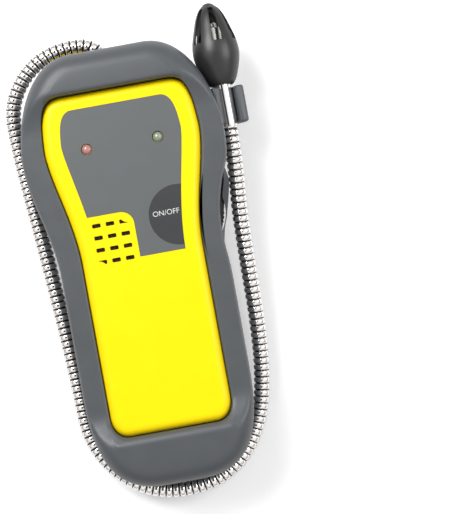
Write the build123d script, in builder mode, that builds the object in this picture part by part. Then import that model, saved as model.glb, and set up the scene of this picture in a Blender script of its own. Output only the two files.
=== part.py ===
from build123d import *
from math import cos, radians, sin
import os

# Handheld gas leak detector: a two-part housing in a thick rubber boot, with a gooseneck
# probe that wraps round the boot and lies in a clip on its right shoulder.
# Millimetres. The instrument lies on its back, face up. The origin is the middle of the
# boot's flat back, +Y points to the sensor end and +Z out of the face.

os.makedirs("parts", exist_ok=True)

# Yellow face: the part of the housing that shows inside the boot
face_top = 82.0
face_foot = -76.0
face_head_half = 35.8
face_grip_half = 27.9
face_height = 42.0
face_edge_radius = 4.2

# Housing: a shoulder under the boot's lip, two shells that part at mid height
shoulder = 3.0
shoulder_height = 34.0
parting_height = 22.0
shell_wall = 2.2
shell_back_radius = 4.0

# Boot: wall thicknesses round the face, raised caps at both ends, ramps down to the strips
boot_side = 10.9
boot_top_cap = 19.0
boot_foot_cap = 25.0
boot_back = 3.4
boot_draft = 10.0
boot_back_radius = 7.5
rim_height = 34.5
strip_height = 40.4
strip_radius = 5.2
cap_height = 46.4
cap_radius = 9.0
ramp_run = 13.0
ramp_edge_radius = 1.6
brow_gap = 1.3
chin_gap = 2.9
seat_gap = 0.25

# Thumbwheel on its potentiometer
wheel_radius = 20.0
wheel_thickness = 5.5
wheel_x = 20.3
wheel_y = 20.5
wheel_base = 19.0
wheel_notches = 60
wheel_gap = 0.6
shaft_radius = 3.0
shaft_gap = 0.05
pot_size = 10.0

# Gooseneck, ferrule and sensor tip
tube_radius = 3.9
ferrule_radius = 4.1
ferrule_length = 19.4
probe_side_gap = 2.8
probe_height = 26.0
probe_seat_y = 75.6
tip_radius = 10.8
tip_length = 38.8
tip_seam = 15.6
tip_foot_radius = 5.4
guard_wall = 1.6
guard_slots = 6
guard_slot_width = 5.4
guard_turn = 10.0

# Clip on the boot's shoulder, a U-shaped channel that leans outwards
clip_lean = 25.0
clip_radius = 11.2
clip_lip = 6.2
clip_length = 17.0
clip_gap = 0.3
clip_end_gap = 1.2

# Lamps, panel, speaker and its slots
lamp_radius = 2.5
lamp_spread = 16.4
lamp_y = 56.3
lamp_rise = 0.8
panel_inset = 8.3
panel_thickness = 0.45
panel_recess = 0.4
panel_foot = 4.1
speaker_radius = 14.0
speaker_depth = 5.0
speaker_rim = 1.6
speaker_side_gap = 1.9
magnet_radius = 8.0
magnet_height = 2.4
gauze_thickness = 0.3
slot_length = 4.0
slot_width = 1.9
slot_columns = 3
slot_rows = 4
slot_pitch_x = 6.3
slot_pitch_y = 5.6
slots_x = speaker_radius + speaker_side_gap - face_grip_half
slots_y = 12.9

# Cells, board and fasteners
cell_radius = 13.1
cell_length = 50.0
cell_spacing = 0.4
cell_foot_y = -67.5
contact_thickness = 0.4
contact_spring = 0.9
rib_thickness = 1.4
board_thickness = 1.6
board_base = 30.5
board_inset = 3.4
boss_radius = 3.4
screw_radius = 1.2
screw_head_radius = 2.6
screw_head_height = 1.8
thread_gap = 0.05
fitting_radius = 5.5
fitting_height = 15.5
hex_across = 14.6
hex_head_length = 4.6
nut_length = 3.4


def waisted_outline(top, foot, head_half, grip_half, end_flats, end_reaches, lean, hips):
    """A closed outline, wide at the head and narrow at the grip, the same left and right.

    end_flats: half-widths of the straight top and foot edges
    end_reaches: where the corner curves would meet those edges if they were square
    lean: how the side leans in above the head's widest point, across and along
    hips: where the neck curve ends and where the foot's corner curve starts
    """
    head_y = 60.0
    lean_across, lean_along = lean
    neck_end, hip_start = hips
    with BuildSketch() as outline:
        with BuildLine():
            Line((0, top), (end_flats[0], top))
            Bezier(
                (end_flats[0], top),
                (end_reaches[0], top),
                (head_half - lean_across, head_y + lean_along),
                (head_half, head_y),
            )
            Bezier(
                (head_half, head_y),
                (head_half + 0.8 * lean_across, head_y - 0.8 * lean_along),
                (grip_half, neck_end + 22),
                (grip_half, neck_end),
            )
            Line((grip_half, neck_end), (grip_half, hip_start))
            Bezier(
                (grip_half, hip_start),
                (grip_half, hip_start + 1.15 * (foot - hip_start) * 0.6),
                (end_reaches[1], foot),
                (end_flats[1], foot),
            )
            Line((end_flats[1], foot), (0, foot))
            mirror(about=Plane.YZ)
        make_face()
    return outline.sketch


def face_shape(distance):
    """The face's outline moved outwards by a distance, or inwards if it is negative."""
    return waisted_outline(
        face_top + distance,
        face_foot - distance,
        face_head_half + distance,
        face_grip_half + distance,
        end_flats=(face_head_half - 11.8, face_grip_half - 7.9),
        end_reaches=(face_head_half - 2.8 + 0.8 * distance, face_grip_half - 3.9 + 0.8 * distance),
        lean=(1.0, 17.0 + 0.8 * distance),
        hips=(4.0, face_foot + 10),
    )


boot_top = face_top + boot_top_cap
boot_foot = face_foot - boot_foot_cap
boot_head_half = face_head_half + boot_side
probe_x = boot_head_half + probe_side_gap
boot_grip_half = face_grip_half + boot_side
boot_outline = waisted_outline(
    boot_top,
    boot_foot,
    boot_head_half,
    boot_grip_half,
    end_flats=(boot_head_half - 29.8, boot_grip_half - 31.0),
    end_reaches=(boot_head_half - 13.8, boot_grip_half - 8.6),
    lean=(2.7, 24.0),
    hips=(0.0, boot_foot + 46),
)

# Heights that follow from the driving dimensions
shell_base = boot_back + seat_gap
shell_floor = shell_base + shell_wall
face_inside = face_height - shell_wall
board_top = board_base + board_thickness
wheel_top = wheel_base + wheel_thickness
housing_top = face_top + shoulder
cell_height = shell_floor + cell_spacing / 2 + cell_radius
cell_offset = cell_radius + cell_spacing / 2
cell_head_y = cell_foot_y + cell_length
rib_top = parting_height

# Walls of the cell compartment: at the foot, between the cells, and above the third cell
foot_rib_y = cell_foot_y - contact_spring - contact_thickness - rib_thickness
middle_rib_y = cell_head_y + contact_thickness
third_cell_foot_y = middle_rib_y + rib_thickness + contact_thickness + contact_spring
third_cell_x = -cell_offset - cell_spacing
head_rib_y = third_cell_foot_y + cell_length + contact_thickness

# Case screws: two in the head's corners, two beside the foot
boss_places = [
    (face_head_half - 6.8, face_top - 9),
    (6.8 - face_head_half, face_top - 9),
    (face_grip_half - 6.9, face_foot + boss_radius + 1.4),
    (6.9 - face_grip_half, face_foot + boss_radius + 1.4),
]

# Board screws: three round the lamps' end, one below the potentiometer
board_head_y = face_top - 15
post_radius = 2.5
post_places = [
    (lamp_spread + 9.5, board_head_y - 5),
    (-lamp_spread - 9.5, board_head_y - 5),
    (-lamp_spread - 8, head_rib_y + 6),
    (wheel_x - 4, 5),
]

# Panel outline: follows the face's sides, with a rounded step over the speaker's slots
panel_step_x = slots_x + slot_pitch_x * 1.75
panel_step_y = slots_y + slot_pitch_y * 2.28


def panel_shape(distance):
    """The panel's outline, moved outwards by a distance."""
    inset = distance - panel_inset
    leg_x = panel_step_x - distance
    step_y = panel_step_y - distance
    with BuildSketch() as panel:
        add(
            waisted_outline(
                face_top - 7 + distance,
                face_foot,
                face_head_half + inset,
                face_grip_half + inset + 0.2,
                end_flats=(face_head_half + inset - 7.5, 5),
                end_reaches=(face_head_half + inset - 2, 10),
                lean=(0.6, 9.0),
                hips=(4.0, face_foot + 10),
            )
        )
        with Locations((0, (face_top + panel_foot) / 2 - distance)):
            Rectangle(3 * face_head_half, face_top - panel_foot, mode=Mode.INTERSECT)
        with Locations((leg_x - face_head_half, step_y - face_top / 2)):
            RectangleRounded(2 * face_head_half, face_top, 6, mode=Mode.SUBTRACT)
    return panel.sketch


# Heights and places inside the housing
screw_seat = shell_floor + 2.4
screw_reach = board_top + 5.5
lamp_foot = board_top + 2.2
lamp_top = face_height + lamp_rise
speaker_top = face_inside - gauze_thickness
speaker_foot = speaker_top - speaker_depth
cover_thickness = 1.3
cover_half = shoulder + face_grip_half - shell_back_radius + 0.1
cover_foot_y = cell_foot_y - 1.4
cover_head_y = head_rib_y
cover_screw_x = cell_offset
cover_screw_y = head_rib_y - 6
cover_screw_seat = shell_base + screw_head_height + 0.2
cover_cup_radius = screw_head_radius + 1.5
cover_cup_top = cover_screw_seat + 1
cover_screw_reach = wheel_base - wheel_gap - 2.5

# Probe: the tip's axis, the cup's seat on the ferrule, and the sensor inside
tip_plane = Plane(origin=(probe_x, probe_seat_y, probe_height), x_dir=(1, 0, 0), z_dir=(0, -1, 0))
guard_length = tip_length - tip_seam
nose_radius = 4.0
slot_foot = 20.2
slot_head = tip_length - 2.6
slot_head_width = 2.2
spigot_length = 3.2
socket_foot = 9.4
socket_top = 12.2
socket_radius = 8.0
can_radius = 4.6
can_length = 15.0
fitting_nose = 3.0
tube_start_y = housing_top - shell_wall

# Gooseneck's route, corner by corner, from the fitting round the boot to the ferrule
bend_line = Line((probe_x - 3.2, -52.0, 11.5), (probe_x - 2.7, 12.0, probe_height - 6.7))
bend_start = bend_line @ 0.22
bend_end = bend_line @ 0.86
fixed_run = [
    (0, tube_start_y, fitting_height),
    (0, 107.0, fitting_height),
    (-31.5, 107.2, 15.4),
    (-50.7, 87.5, 15.0),
    (-50.3, 60.0, 14.2),
    (-46.4, 12.0, 12.8),
    (-42.6, -46.0, 11.4),
    (-42.1, -83.3, 10.6),
    (-17.6, -107.7, 10.4),
    (17.0, -107.7, 10.4),
    (38.4, -86.3, 10.8),
    bend_line @ 0,
    bend_start,
]
fixed_radii = [14.0, 27.5, 27.5, 300.0, 400.0, 400.0, 40.5, 40.5, 40.5, 40.5, 70.0]
bending_run = [bend_start, bend_end]
carried_run = [
    bend_end,
    bend_line @ 1,
    (probe_x - 0.6, 35.0, probe_height - 3),
    (probe_x, 48.0, probe_height),
    (probe_x, probe_seat_y - ferrule_length, probe_height),
]
carried_radii = [80.0, 60.0, 30.0]

# Boot ramps: from the side strips up to the caps, at the brow above the face and the chin
brow_y = face_top + brow_gap
chin_y = face_foot - chin_gap
ramp_slope = (cap_height - strip_height) / ramp_run
ramp_drop_run = (cap_height - rim_height) / ramp_slope

# Both end caps, cut by the ramps. They join the boot below
with BuildPart() as caps:
    with BuildSketch(Plane.XY.offset(rim_height)):
        add(boot_outline)
    extrude(amount=cap_height - rim_height)
    fillet(caps.edges().group_by(Axis.Z)[-1], min(cap_radius, 0.8 * (cap_height - rim_height)))
    with BuildSketch(Plane.YZ) as ramps:
        with BuildLine():
            Polyline(
                (brow_y - ramp_drop_run, rim_height),
                (brow_y, cap_height),
                (boot_top + 1, cap_height),
                (boot_top + 1, rim_height),
                close=True,
            )
        make_face()
        with BuildLine():
            Polyline(
                (chin_y + ramp_drop_run, rim_height),
                (chin_y, cap_height),
                (boot_foot - 1, cap_height),
                (boot_foot - 1, rim_height),
                close=True,
            )
        make_face()
        ridges = ramps.vertices().filter_by_position(Axis.Y, cap_height - 1, cap_height + 1)
        ridges = ridges.filter_by_position(Axis.X, chin_y - 1, brow_y + 1)
        fillet(ridges, ramp_edge_radius)
    extrude(amount=boot_head_half + 1, both=True, mode=Mode.INTERSECT)

# The space that the housing takes in the boot, with its rounded back and its shoulder
with BuildPart() as pocket:
    with BuildSketch(Plane.XY.offset(boot_back)):
        add(face_shape(shoulder + seat_gap))
    extrude(amount=shoulder_height + seat_gap - boot_back)
    fillet(pocket.edges().group_by(Axis.Z)[0], shell_back_radius + seat_gap)
    with BuildSketch(Plane.XY.offset(shoulder_height)):
        add(face_shape(seat_gap))
    extrude(amount=cap_height - shoulder_height + 1)

# The probe's place: its axis runs along Y through this plane, whose own Y leans outwards
probe_plane = Plane(
    origin=(probe_x, probe_seat_y, probe_height),
    x_dir=(cos(radians(clip_lean)), 0, -sin(radians(clip_lean))),
    z_dir=(0, -1, 0),
)
clip_plane = Plane(
    origin=(probe_x, probe_seat_y - clip_end_gap, probe_height),
    x_dir=probe_plane.x_dir,
    z_dir=(0, -1, 0),
)
channel_radius = ferrule_radius + clip_gap

# Rubber boot: a tapered tub with rounded edges, caps, the clip, the pocket for the housing,
# the window for the face, the scallop and slot at the thumbwheel, the notch for the tube
with BuildPart() as boot:
    with BuildSketch(Plane.XY.offset(rim_height)):
        add(boot_outline)
    extrude(amount=-rim_height, taper=boot_draft)
    fillet(boot.edges().group_by(Axis.Z)[0], boot_back_radius)
    with BuildSketch(Plane.XY.offset(rim_height)):
        add(boot_outline)
    extrude(amount=strip_height - rim_height)
    fillet(boot.edges().group_by(Axis.Z)[-1], min(strip_radius, 0.9 * (strip_height - rim_height)))
    add(caps.part)

    # Clip: a thick loop beside the shoulder, open along its upper right
    with BuildSketch(clip_plane):
        Circle(clip_radius)
        with Locations((clip_radius / 2, clip_lip + clip_radius / 2)):
            Rectangle(clip_radius * 2, clip_radius, mode=Mode.SUBTRACT)
    extrude(amount=clip_length)
    with BuildSketch(clip_plane.offset(-clip_end_gap)):
        Circle(channel_radius)
        with Locations((0, clip_radius)):
            Rectangle(channel_radius * 2, clip_radius * 2)
    extrude(amount=clip_length + 2 * clip_end_gap, mode=Mode.SUBTRACT)

    # Room for the housing, and the lip that spans the waist beside the wheel
    add(pocket.part, mode=Mode.SUBTRACT)
    with BuildSketch(Plane.XY.offset(shoulder_height + seat_gap)):
        with BuildLine():
            ThreePointArc(
                (face_head_half - 3.3, 38),
                (face_grip_half + 3.0, 20),
                (face_grip_half + 0.4, 0),
            )
            Line((face_grip_half + 0.4, 0), (face_grip_half - 5, 0))
            Line((face_grip_half - 5, 0), (face_grip_half - 5, 38))
            Line((face_grip_half - 5, 38), (face_head_half - 3.3, 38))
        make_face()
    extrude(amount=cap_height - shoulder_height, mode=Mode.SUBTRACT)

    # Scallop beside the wheel and the slot that the wheel turns in
    with BuildSketch(Plane.XY.offset(wheel_top + wheel_gap)):
        with BuildLine():
            ThreePointArc(
                (boot_head_half - 2.6, 38.5),
                (boot_grip_half - 0.7, 17),
                (boot_grip_half + 0.4, -7),
            )
            Line((boot_grip_half + 0.4, -7), (boot_head_half + 3, -7))
            Line((boot_head_half + 3, -7), (boot_head_half + 3, 38.5))
            Line((boot_head_half + 3, 38.5), (boot_head_half - 2.6, 38.5))
        make_face()
    extrude(amount=cap_height, mode=Mode.SUBTRACT)
    with BuildSketch(Plane.XY.offset(wheel_base - wheel_gap)):
        with Locations((wheel_x, wheel_y)):
            Circle(wheel_radius + wheel_gap)
    extrude(amount=wheel_thickness + 2 * wheel_gap, mode=Mode.SUBTRACT)

    # Notch in the top end, open to the back, that the tube leaves by
    with BuildSketch(Plane.XZ.offset(-housing_top + 1)):
        with Locations((-8, fitting_height - 6)):
            RectangleRounded(36, 32, 5)
    extrude(amount=-boot_top_cap - 1, mode=Mode.SUBTRACT)

boot.part.label = "boot"
export_step(boot.part, "parts/boot.step")

# Front shell: the yellow half, open below, with its face, shoulder, bosses and board posts
with BuildPart() as front_shell:
    with BuildSketch(Plane.XY.offset(parting_height)):
        add(face_shape(shoulder))
    extrude(amount=shoulder_height - parting_height)
    with BuildSketch(Plane.XY.offset(shoulder_height)):
        add(face_shape(0))
    extrude(amount=face_height - shoulder_height)
    fillet(front_shell.edges().group_by(Axis.Z)[-1], face_edge_radius)
    with BuildSketch(Plane.XY.offset(parting_height)):
        add(face_shape(shoulder - shell_wall))
    extrude(amount=shoulder_height - shell_wall - parting_height, mode=Mode.SUBTRACT)
    with BuildSketch(Plane.XY.offset(parting_height)):
        add(face_shape(-shell_wall))
    extrude(amount=face_inside - parting_height, mode=Mode.SUBTRACT)

    # Screw bosses from the parting up, and posts for the board
    with BuildSketch(Plane.XY.offset(parting_height)):
        with Locations(*boss_places):
            Circle(boss_radius)
    extrude(amount=face_inside - parting_height + 0.2)
    with BuildSketch(Plane.XY.offset(board_top)):
        with Locations(*post_places):
            Circle(post_radius)
    extrude(amount=face_inside - board_top + 0.2)
    with BuildSketch(Plane.XY.offset(parting_height)):
        with Locations(*boss_places, *post_places):
            Circle(screw_radius + thread_gap)
    extrude(amount=screw_reach - parting_height, mode=Mode.SUBTRACT)

    # Recess for the panel, lamp holes and the speaker's slots
    with BuildSketch(Plane.XY.offset(face_height - panel_recess)):
        add(panel_shape(0.1))
    extrude(amount=face_height, mode=Mode.SUBTRACT)
    with BuildSketch(Plane.XY.offset(board_top)):
        with Locations((lamp_spread, lamp_y), (-lamp_spread, lamp_y)):
            Circle(lamp_radius + 0.1)
    extrude(amount=face_height, mode=Mode.SUBTRACT)
    with BuildSketch(Plane.XY.offset(face_inside - 1)) as slots:
        with Locations((slots_x, slots_y)):
            with GridLocations(slot_pitch_x, slot_pitch_y, slot_columns, slot_rows):
                RectangleRounded(slot_length, slot_width, slot_width * 0.3)
        with Locations((slots_x + slot_pitch_x + slot_length / 2, slots_y + 2 * slot_pitch_y)):
            Circle(slot_pitch_y * 0.62, mode=Mode.SUBTRACT)
        with Locations((slots_x - slot_pitch_x - slot_length / 2, slots_y - 2 * slot_pitch_y)):
            Circle(slot_pitch_y * 0.62, mode=Mode.SUBTRACT)
    extrude(amount=face_height, mode=Mode.SUBTRACT)

    # Slot that the wheel turns in
    with BuildSketch(Plane.XY.offset(wheel_base - wheel_gap)):
        with Locations((wheel_x, wheel_y)):
            Circle(wheel_radius + wheel_gap)
    extrude(amount=wheel_thickness + 2 * wheel_gap, mode=Mode.SUBTRACT)

front_shell.part.label = "front_shell"
export_step(front_shell.part, "parts/front_shell.step")

# Rear shell: the hidden half, with the cell compartment, its walls and the cover's opening
with BuildPart() as rear_shell:
    with BuildSketch(Plane.XY.offset(shell_base)):
        add(face_shape(shoulder))
    extrude(amount=parting_height - shell_base)
    fillet(rear_shell.edges().group_by(Axis.Z)[0], shell_back_radius)
    with BuildSketch(Plane.XY.offset(shell_floor)):
        add(face_shape(shoulder - shell_wall))
    extrude(amount=parting_height - shell_floor, mode=Mode.SUBTRACT)

    # Screw pillars and the walls that hold the cells' contacts
    with BuildSketch(Plane.XY.offset(shell_floor - 0.2)):
        with Locations(*boss_places):
            Circle(boss_radius)
    extrude(amount=parting_height - shell_floor + 0.2)
    with BuildSketch(Plane.XY.offset(shell_floor - 0.2)):
        with Locations((0, foot_rib_y + rib_thickness / 2), (0, middle_rib_y + rib_thickness / 2)):
            Rectangle(4 * cell_offset + 1, rib_thickness)
        with Locations((third_cell_x, head_rib_y + rib_thickness / 2)):
            Rectangle(2 * cell_offset, rib_thickness)
    extrude(amount=rib_top - shell_floor)
    with BuildSketch(Plane.XY.offset(shell_base - 1)):
        with Locations(*boss_places):
            Circle(screw_radius + 0.5)
    extrude(amount=parting_height, mode=Mode.SUBTRACT)
    with BuildSketch(Plane.XY.offset(shell_base - 1)):
        with Locations(*boss_places):
            Circle(screw_head_radius + 0.3)
    extrude(amount=screw_seat - shell_base + 1, mode=Mode.SUBTRACT)

    # Opening over the cells, with a ledge that the cover lies on
    with BuildSketch(Plane.XY.offset(shell_base - 1)):
        with Locations((0, (cover_foot_y + cover_head_y) / 2)):
            RectangleRounded(2 * cover_half + 0.4, cover_head_y - cover_foot_y + 0.4, 2)
    extrude(amount=cover_thickness + 1, mode=Mode.SUBTRACT)
    with BuildSketch(Plane.XY.offset(shell_base)):
        with Locations((0, (cell_foot_y + cell_head_y) / 2)):
            Rectangle(2 * cover_half - 1.6, cell_length)
        with Locations((third_cell_x, third_cell_foot_y + cell_length / 2)):
            Rectangle(2 * cell_offset - 1.6, cell_length)
    extrude(amount=shell_wall, mode=Mode.SUBTRACT)

    # Post over the third cell's free side: the cover's screw cup goes in from the back
    with BuildSketch(Plane.XY.offset(shell_floor - 0.2)):
        with Locations((cover_screw_x, cover_screw_y)):
            Circle(cover_cup_radius + 2)
    extrude(amount=cover_screw_reach + 1 - shell_floor)
    with BuildSketch(Plane.XY.offset(shell_base)):
        with Locations((cover_screw_x, cover_screw_y)):
            Circle(cover_cup_radius + 0.2)
    extrude(amount=cover_cup_top + 0.2 - shell_base, mode=Mode.SUBTRACT)
    with BuildSketch(Plane.XY.offset(shell_base)):
        with Locations((cover_screw_x, cover_screw_y)):
            Circle(screw_radius + thread_gap)
    extrude(amount=cover_screw_reach + 0.4 - shell_base, mode=Mode.SUBTRACT)

    # Slot that the wheel turns in, and the hole for the tube's fitting
    with BuildSketch(Plane.XY.offset(wheel_base - wheel_gap)):
        with Locations((wheel_x, wheel_y)):
            Circle(wheel_radius + wheel_gap)
    extrude(amount=wheel_thickness, mode=Mode.SUBTRACT)
    with BuildSketch(Plane.XZ.offset(-housing_top - 1)):
        with Locations((0, fitting_height)):
            Circle(fitting_radius + thread_gap)
    extrude(amount=shell_wall + 2, mode=Mode.SUBTRACT)

rear_shell.part.label = "rear_shell"
export_step(rear_shell.part, "parts/rear_shell.step")

# Panel: the printed overlay in its recess, with the step round the speaker's slots
with BuildPart() as panel_overlay:
    with BuildSketch(Plane.XY.offset(face_height - panel_recess)):
        add(panel_shape(0))
        with Locations((lamp_spread, lamp_y), (-lamp_spread, lamp_y)):
            Circle(lamp_radius + 0.1, mode=Mode.SUBTRACT)
    extrude(amount=panel_thickness)

panel_overlay.part.label = "panel_overlay"
export_step(panel_overlay.part, "parts/panel_overlay.step")

# Lamps: domed lenses that stand on sleeves above the board
for side, lamp_name in ((-1, "led_red"), (1, "led_green")):
    with BuildPart() as lamp:
        with BuildSketch(Plane.XZ) as lamp_profile:
            with BuildLine():
                Polyline(
                    (0, lamp_foot),
                    (lamp_radius + 0.4, lamp_foot),
                    (lamp_radius + 0.4, lamp_foot + 1),
                    (lamp_radius, lamp_foot + 1),
                    (lamp_radius, lamp_top - lamp_radius),
                )
                RadiusArc((lamp_radius, lamp_top - lamp_radius), (0, lamp_top), -lamp_radius)
                Line((0, lamp_top), (0, lamp_foot))
            make_face()
        revolve(axis=Axis.Z)
    lamp_part = lamp.part.moved(Location((side * lamp_spread, lamp_y, 0)))
    lamp_part.label = lamp_name
    export_step(lamp_part, f"parts/{lamp_name}.step")

with BuildPart() as lamp_sleeves:
    with BuildSketch(Plane.XY.offset(board_top)):
        with Locations((lamp_spread, lamp_y), (-lamp_spread, lamp_y)):
            Circle(lamp_radius + 0.4)
            Circle(0.8, mode=Mode.SUBTRACT)
    extrude(amount=lamp_foot - board_top)

lamp_sleeves.part.label = "lamp_sleeves"
export_step(lamp_sleeves.part, "parts/lamp_sleeves.step")

# Circuit board: fills the head and runs down beside the third cell to the wheel
with BuildPart() as circuit_board:
    with BuildSketch(Plane.XY.offset(board_base)):
        add(face_shape(-board_inset))
        with Locations((0, (board_head_y + 1) / 2)):
            Rectangle(3 * face_head_half, board_head_y - 1, mode=Mode.INTERSECT)
        with Locations((-face_head_half + 1, head_rib_y / 2)):
            Rectangle(2 * face_head_half, head_rib_y + 2 * rib_thickness, mode=Mode.SUBTRACT)
        with Locations(*post_places):
            Circle(screw_radius + 0.3, mode=Mode.SUBTRACT)
    extrude(amount=board_thickness)

circuit_board.part.label = "circuit_board"
export_step(circuit_board.part, "parts/circuit_board.step")

# Microchip and the plug for the probe's lead, both on the board
with BuildPart() as microchip:
    with BuildSketch(Plane.XY.offset(board_top)):
        with Locations((0, lamp_y - 6)):
            Rectangle(12, 8)
    extrude(amount=1.7)
    chamfer(microchip.edges().group_by(Axis.Z)[-1], 0.3)

microchip.part.label = "microchip"
export_step(microchip.part, "parts/microchip.step")

with BuildPart() as lead_connector:
    with BuildSketch(Plane.XY.offset(board_base - 6)):
        with Locations((0, board_head_y - 4)):
            Rectangle(10, 5)
            Rectangle(8.4, 3.4, mode=Mode.SUBTRACT)
    extrude(amount=6)
    with BuildSketch(Plane.XY.offset(board_base - 1)):
        with Locations((0, board_head_y - 4)):
            Rectangle(8.6, 3.6)
    extrude(amount=1)

lead_connector.part.label = "lead_connector"
export_step(lead_connector.part, "parts/lead_connector.step")

# Screws: a domed head below and a plain shank, threads left plain
for screw_name, places, seat, reach in (
    ("case_screws", boss_places, screw_seat, screw_reach - 1),
    ("board_screws", post_places, board_base, screw_reach - 1),
    ("battery_cover_screw", [(cover_screw_x, cover_screw_y)], cover_screw_seat, cover_screw_reach),
):
    with BuildPart() as screws:
        with BuildSketch(Plane.XY.offset(seat)):
            with Locations(*places):
                Circle(screw_radius)
        extrude(amount=reach - seat)
        with BuildSketch(Plane.XY.offset(seat)):
            with Locations(*places):
                Circle(screw_head_radius)
        extrude(amount=-screw_head_height, taper=12)
    screws.part.label = screw_name
    export_step(screws.part, f"parts/{screw_name}.step")

# Cover over the cells, flush with the rear shell's back
with BuildPart() as battery_cover:
    with BuildSketch(Plane.XY.offset(shell_base)):
        with Locations((0, (cover_foot_y + cover_head_y) / 2)):
            RectangleRounded(2 * cover_half, cover_head_y - cover_foot_y, 1.8)
    extrude(amount=cover_thickness)
    with BuildSketch(Plane.XY.offset(shell_base)):
        with Locations((cover_screw_x, cover_screw_y)):
            Circle(cover_cup_radius)
    extrude(amount=cover_cup_top - shell_base)
    with BuildSketch(Plane.XY.offset(shell_base)):
        with Locations((cover_screw_x, cover_screw_y)):
            Circle(screw_head_radius + 0.3)
    extrude(amount=cover_screw_seat - shell_base, mode=Mode.SUBTRACT)
    with BuildSketch(Plane.XY.offset(cover_screw_seat)):
        with Locations((cover_screw_x, cover_screw_y)):
            Circle(screw_radius + 0.3)
    extrude(amount=cover_cup_top - cover_screw_seat, mode=Mode.SUBTRACT)

battery_cover.part.label = "battery_cover"
export_step(battery_cover.part, "parts/battery_cover.step")

# Cells: a can with a stepped cap, each with its middle, its foot and the way its cap points
cell_places = [
    ("battery_1", -cell_offset, cell_foot_y, 1),
    ("battery_2", cell_offset, middle_rib_y - contact_thickness - contact_spring, -1),
    ("battery_3", third_cell_x, third_cell_foot_y, 1),
]
for cell_name, cell_x, cell_y, way in cell_places:
    with BuildPart() as cell:
        with BuildSketch(Plane.YZ) as cell_profile:
            with BuildLine():
                Polyline(
                    (0, 0),
                    (0, cell_radius - 1),
                    (way * 1, cell_radius),
                    (way * (cell_length - 3), cell_radius),
                    (way * (cell_length - 2), cell_radius - 1.5),
                    (way * (cell_length - 2), 3.2),
                    (way * cell_length, 3.2),
                    (way * cell_length, 0),
                    close=True,
                )
            make_face()
        revolve(axis=Axis.Y)
    cell_part = cell.part.moved(Location((cell_x, cell_y, cell_height)))
    cell_part.label = cell_name
    export_step(cell_part, f"parts/{cell_name}.step")

# Contacts: flat plates against the walls, and bowed leaves where a cell's foot presses
plate_y = [
    (-cell_offset, middle_rib_y - contact_thickness),
    (cell_offset, foot_rib_y + rib_thickness),
    (third_cell_x, head_rib_y - contact_thickness),
]
leaf_y = [
    (-cell_offset, foot_rib_y + rib_thickness, 1),
    (cell_offset, middle_rib_y, -1),
    (third_cell_x, middle_rib_y + rib_thickness, 1),
]
with BuildPart() as plate_contacts:
    for contact_x, contact_y in plate_y:
        with BuildSketch(Plane.XY.offset(shell_floor + 1)):
            with Locations((contact_x, contact_y + contact_thickness / 2)):
                Rectangle(9, contact_thickness)
        extrude(amount=rib_top - shell_floor - 2)

plate_contacts.part.label = "plate_contacts"
export_step(plate_contacts.part, "parts/plate_contacts.step")

with BuildPart() as spring_contacts:
    for contact_x, contact_y, way in leaf_y:
        with BuildSketch(Plane.XY.offset(cell_height - 4)):
            with BuildLine():
                Polyline(
                    (contact_x - 5, contact_y),
                    (contact_x - 5, contact_y + way * contact_thickness),
                    (contact_x - 2, contact_y + way * (contact_thickness + contact_spring)),
                    (contact_x + 2, contact_y + way * (contact_thickness + contact_spring)),
                    (contact_x + 5, contact_y + way * contact_thickness),
                    (contact_x + 5, contact_y),
                    (contact_x + 4, contact_y),
                    (contact_x + 1.7, contact_y + way * contact_spring),
                    (contact_x - 1.7, contact_y + way * contact_spring),
                    (contact_x - 4, contact_y),
                    close=True,
                )
            make_face()
        extrude(amount=8)

spring_contacts.part.label = "spring_contacts"
export_step(spring_contacts.part, "parts/spring_contacts.step")

# Speaker behind the slots, with a gauze between its rim and the face
with BuildPart() as speaker:
    with BuildSketch(Plane.XZ) as speaker_profile:
        with BuildLine():
            Polyline(
                (0, speaker_foot),
                (magnet_radius, speaker_foot),
                (magnet_radius, speaker_foot + magnet_height),
                (speaker_radius - 1, speaker_top - speaker_rim),
                (speaker_radius, speaker_top - speaker_rim),
                (speaker_radius, speaker_top),
                (speaker_radius - 1.2, speaker_top),
                (magnet_radius - 3, speaker_top - 1.8),
                (0, speaker_top - 1.2),
                close=True,
            )
        make_face()
    revolve(axis=Axis.Z)

speaker_part = speaker.part.moved(Location((slots_x, slots_y, 0)))
speaker_part.label = "speaker"
export_step(speaker_part, "parts/speaker.step")

with BuildPart() as speaker_gauze:
    with BuildSketch(Plane.XY.offset(speaker_top)):
        with Locations((slots_x, slots_y)):
            Circle(speaker_radius)
    extrude(amount=gauze_thickness)

speaker_gauze.part.label = "speaker_gauze"
export_step(speaker_gauze.part, "parts/speaker_gauze.step")

# Potentiometer under the board, its shaft, and the notched wheel pressed on the shaft
with BuildPart() as potentiometer:
    with BuildSketch(Plane.XY.offset(wheel_top + 0.5)):
        with Locations((wheel_x, wheel_y)):
            RectangleRounded(pot_size, pot_size + 1, 0.8)
            Circle(shaft_radius + shaft_gap, mode=Mode.SUBTRACT)
    extrude(amount=board_base - wheel_top - 1.5)
    with BuildSketch(Plane.XY.offset(board_base - 1)):
        with Locations((wheel_x, wheel_y)):
            RectangleRounded(pot_size, pot_size + 1, 0.8)
    extrude(amount=1)

potentiometer.part.label = "potentiometer"
export_step(potentiometer.part, "parts/potentiometer.step")

with BuildPart() as potentiometer_shaft:
    with BuildSketch(Plane.XY.offset(wheel_base)):
        with Locations((wheel_x, wheel_y)):
            Circle(shaft_radius)
    extrude(amount=board_base - 1 - shaft_gap - wheel_base)

potentiometer_shaft.part.label = "potentiometer_shaft"
export_step(potentiometer_shaft.part, "parts/potentiometer_shaft.step")

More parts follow.
